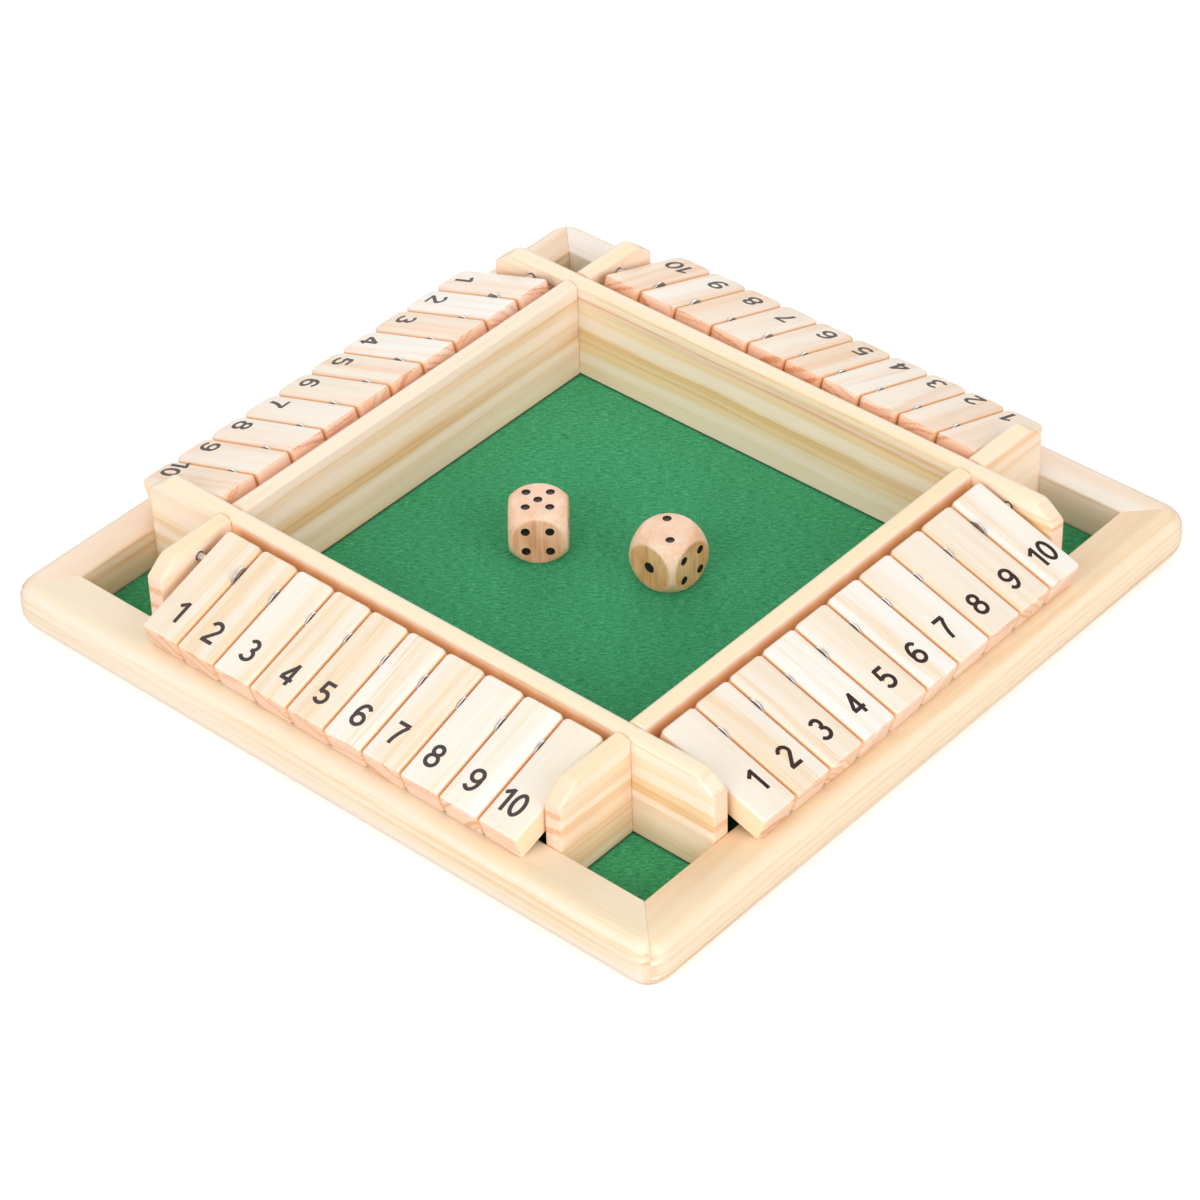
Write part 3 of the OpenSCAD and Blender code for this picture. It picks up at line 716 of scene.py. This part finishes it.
def stroke_faces(stroke):
    """The quads of one pen stroke, with mitred turns and square ends."""
    line = [Vector(p) for p in stroke]
    closed = (line[0] - line[-1]).length < 0.001
    normals = []
    for a, b in zip(line, line[1:]):
        run = (b - a).normalized()
        normals.append(Vector((-run.y, run.x)))
    sides = []
    for i, point in enumerate(line):
        before = normals[i - 1] if i or closed else normals[0]
        after = normals[i] if i < len(normals) else normals[0 if closed else -1]
        lean = (before + after).normalized()
        reach = STROKE / 2 / max(lean.dot(after), 0.5)
        sides.append((point + lean * reach, point - lean * reach))
    return [(a[1], b[1], b[0], a[0]) for a, b in zip(sides, sides[1:])]


def make_digit(row, turns, number):
    """A printed digit: a film of ink 0.03 mm thick on the tile's number face."""
    quads = [quad for stroke in DIGITS[number] for quad in stroke_faces(stroke)]
    corners = [Vector(p) for quad in quads for p in quad]
    outlines = [tuple(range(i, i + 4)) for i in range(0, len(corners), 4)]
    flat, _, patches, _, _, sources = delaunay_2d_cdt(corners, [], outlines, 0, 0.0001)
    inked = [patch for patch, source in zip(patches, sources) if source]
    used = sorted({i for patch in inked for i in patch})
    order = {old: new for new, old in enumerate(used)}
    off, from_end = PRINTED[row][number - 1]
    foot = from_end - TILE_OUT - DIGIT_HIGH / 2
    place = tile_place(row, turns, number) @ Matrix.Translation((TILE_WIDTH / 2 + off, foot, PIVOT_DEPTH))
    count = len(used)
    points = [(flat[i].x, flat[i].y, z) for z in (-0.01, 0.03) for i in used]
    faces = [tuple(order[i] for i in patch) for patch in inked]
    edges = dict.fromkeys(edge for face in faces for edge in zip(face, face[1:] + face[:1]))
    walls = [(a, b, b + count, a + count) for a, b in edges if (b, a) not in edges]
    faces = [face[::-1] for face in faces] + [tuple(i + count for i in face) for face in faces] + walls
    digit = make_piece(f"digit_{row}_{number}", points, faces, [INKS[row]], place)
    hand_over(digit, f"tile_{row}_{number}", "pine_tile")


def tile_place(row, turns, number):
    """Where a tile's pivot line starts, at the side with the lower number, with Y inward along the tile."""
    start = ROW_START + ROW_SLIDE[row] + (number - 1) * TILE_PITCH
    place = row_turn(turns) @ Matrix.Translation((start, -ROD_AXIS, ROD_HEIGHT))
    return place @ Matrix.Rotation(TILE_LEAN, 4, "X")


def make_tile(row, turns, number, finish):
    """A tile with softly rounded edges and rounder corners at its ends, bored for the rod."""
    edge, inner_corner, outer_corner = 0.9, 1.6, END_CORNER[row]
    corners = ((TILE_WIDTH, TILE_IN, 0), (0, TILE_IN, 90), (0, -TILE_OUT, 180), (TILE_WIDTH, -TILE_OUT, 270))
    rings = []
    for rising in (True, False):
        for angle in (0, 18, 36, 54, 72, 90):
            angle = math.radians(angle if rising else 90 - angle)
            inset, lift = edge * (1 - math.sin(angle)), edge * (1 - math.cos(angle))
            height = PIVOT_DEPTH - TILE_THICKNESS + lift if rising else PIVOT_DEPTH - lift
            ring = []
            for x, y, first in corners:
                corner = inner_corner if y > 0 else outer_corner
                middle = (x - corner if x else corner, y - corner if y > 0 else y + corner)
                ring += arc(middle, (corner - inset, corner - inset), first, first + 90, 7)
            rings.append([(x, y, height) for x, y in ring])
    place = tile_place(row, turns, number)
    tile = make_loft(f"{row}_tile_{number}", rings, finish, place)
    shaft = [[(x, y, z) for y, z in circle(TILE_BORE / 2)] for x in (-1, TILE_WIDTH + 1)]
    cut_away(tile, make_loft("drill", shaft, finish, place))
    hand_over(tile, f"tile_{row}_{number}", "pine_tile", f"tile_{row}_{number}")


for turns, row in enumerate(ROWS):
    tile_pine = sanded_pine_tiles(row, turns)
    for number in range(1, 11):
        make_tile(row, turns, number, tile_pine)
        make_digit(row, turns, number)


# ---- Dice ----

PIPS = {
    1: [(0, 0)],
    2: [(-1, 1), (1, -1)],
    3: [(-1, 1), (0, 0), (1, -1)],
    4: [(-1, -1), (-1, 1), (1, -1), (1, 1)],
    5: [(-1, -1), (-1, 1), (0, 0), (1, -1), (1, 1)],
    6: [(-1, -1), (-1, 0), (-1, 1), (1, -1), (1, 0), (1, 1)],
}
# The pips' distance apart, and the radius of a face's single pip and of the others
PIP_PITCH, SINGLE_PIP, PIP = 3.35, 1.65, 1.28
# Each face of a die turned from the top one. Opposite faces are three apart.
FACE_TURNS = [(0, 0, 0), (90, 0, 0), (90, 0, 90), (180, 0, 0), (90, 0, 180), (90, 0, 270)]


def make_die(name, node, ball, numbers, turn, side_shade_tones):
    """A tumbled die: a cube cut by a ball with a soft edge between them, and painted dishes for pips."""
    low, high = packed_box(node)
    place = Matrix.Translation((low + high) / 2) @ Matrix.Rotation(math.radians(turn), 4, "Z")
    half, cells, soft = (high.z - low.z) / 2, 64, 0.4
    points, faces = [], []
    for face_turn in FACE_TURNS:
        base = len(points)
        face = Euler([math.radians(a) for a in face_turn]).to_matrix()
        for i in range(cells + 1):
            for j in range(cells + 1):
                u, v = [math.tan(math.radians(45 * (2 * k / cells - 1))) for k in (i, j)]
                ray = Vector((u, v, 1))
                flat, curved = half, ball / 2 / ray.length
                near = max(soft - abs(flat - curved), 0) / soft
                reach = min(flat, curved) - near * near * soft / 4
                points.append(face @ (ray * reach))
                if i and j:
                    a = base + i * (cells + 1) + j
                    faces.append((a - cells - 2, a - 1, a, a - cells - 1))
    beech = tumbled_beech("tumbled_beech_" + name, (low + high) / 2, half, turn, side_shade_tones)
    die = make_piece(name, points, faces, [beech, PIP_PAINT], place)
    work = bmesh.new()
    work.from_mesh(die.data)
    bmesh.ops.remove_doubles(work, verts=work.verts, dist=0.00001)
    bmesh.ops.recalc_face_normals(work, faces=work.faces)
    work.to_mesh(die.data)
    work.free()
    dish = [(1, 1), (1, -0.04), (0.93, -0.22), (0.7, -0.36), (0.3, -0.4)]
    points, faces = [], []
    for face_turn, number in zip(FACE_TURNS, list(numbers) + [7 - n for n in numbers]):
        face = Euler([math.radians(a) for a in face_turn]).to_matrix()
        wide = SINGLE_PIP if number == 1 else PIP
        for pip in PIPS[number]:
            base = len(points)
            for radius, depth in dish:
                centre = (pip[0] * PIP_PITCH, pip[1] * PIP_PITCH)
                for x, y in circle(wide * radius, centre):
                    points.append(face @ Vector((x, y, half + depth)))
            faces += [tuple(base + i for i in ring) for ring in loft_faces(len(dish), 24)]
    punch = make_piece("punch", points, faces, [beech, PIP_PAINT], place)
    for face in punch.data.polygons:
        face.material_index = 1
    cut_away(die, punch)
    hand_over(die, node, "dice_wood", node)


make_die("squarer_die", "die_left", 22.2, (5, 4, 1), 40, ("#d99468", "#f0b08c", "#fbc8a8"))
make_die("rounder_die", "die_right", 21.8, (2, 1, 4), 0, ("#cf925e", "#e4ab76", "#f0c696"))


# ---- Studio ----

# Soft lamps 2.4 m wide, with their place in metres and their power in watts
LAMPS = (("front_softbox", (0.2, -2.6, 1.1), 50), ("right_softbox", (2.6, -0.2, 1.1), 45),
         ("back_softbox", (-2.0, 2.0, 1.3), 29))
# The photograph's width and the camera's focal length, both in pixels of the photograph
PHOTO_WIDE, FOCAL = 1200, 4090


def make_studio():
    """A pale floor that stays white to the camera but keeps the shadow, a white sky and three soft lamps."""
    surface, tree = new_surface("pale_studio_floor")
    matt = add(tree, "BsdfDiffuse", {"Color": srgb("#e0deda")})
    glow = add(tree, "Emission", {"Color": srgb("#ffffff"), "Strength": 0.5})
    seen = add(tree, "LightPath")
    lifted = add(tree, "AddShader", {0: matt, 1: glow})
    floor_mix = add(tree, "MixShader", {0: seen.outputs["Is Camera Ray"], 1: matt, 2: lifted})
    add(tree, "OutputMaterial", {"Surface": floor_mix})
    reach = 6000
    corners = [(x * reach, y * reach, -0.02) for x, y in ((-1, -1), (1, -1), (1, 1), (-1, 1))]
    floor = make_piece("studio_floor", corners, [(0, 1, 2, 3)], [surface])
    world = bpy.data.worlds.new("white_studio")
    world.use_nodes = True
    world.node_tree.nodes.clear()
    sky = world.node_tree
    path = add(sky, "LightPath")
    mirror = add(sky, "Math", {0: path.outputs["Is Glossy Ray"], 1: path.outputs["Is Transmission Ray"]},
                 operation="MAXIMUM")
    seen = add(sky, "Math", {0: path.outputs["Is Camera Ray"], 1: mirror}, operation="MAXIMUM")
    level = add(sky, "MapRange", {"Value": seen, "To Min": 0.5, "To Max": 1.0})
    light = add(sky, "Background", {"Color": srgb("#ffffff"), "Strength": level})
    add(sky, "OutputWorld", {"Surface": light})
    bpy.context.scene.world = world
    for name, place, power in LAMPS:
        lamp = bpy.data.lights.new(name, "AREA")
        lamp.shape, lamp.size, lamp.energy = "SQUARE", 2.4, power
        holder = bpy.data.objects.new(name, lamp)
        holder.location = place
        holder.rotation_euler = (-Vector(place)).to_track_quat("-Z", "Y").to_euler()
        bpy.context.collection.objects.link(holder)


def make_camera():
    """The camera at the photograph's angle, with the focal length that its frame asks for."""
    place, target = Vector((0.58235, -0.64937, 0.705)), Vector((0.00643, -0.02911, 0.016))
    back = (place - target).normalized()
    right = Vector((0, 0, 1)).cross(back).normalized()
    up = back.cross(right)
    roll = -0.0389
    axes = (right * math.cos(roll) + up * math.sin(roll), up * math.cos(roll) - right * math.sin(roll), back)
    camera = bpy.data.objects.new("camera", bpy.data.cameras.new("camera"))
    camera.matrix_world = Matrix.Translation(place) @ Matrix(axes).transposed().to_4x4()
    camera.data.sensor_width = 36
    camera.data.lens = 36 * FOCAL / PHOTO_WIDE
    camera.data.shift_x = 0.0418
    camera.data.shift_y = 0.0046
    bpy.context.collection.objects.link(camera)
    bpy.context.scene.camera = camera


make_studio()
make_camera()
bpy.context.scene.view_settings.view_transform = "Standard"
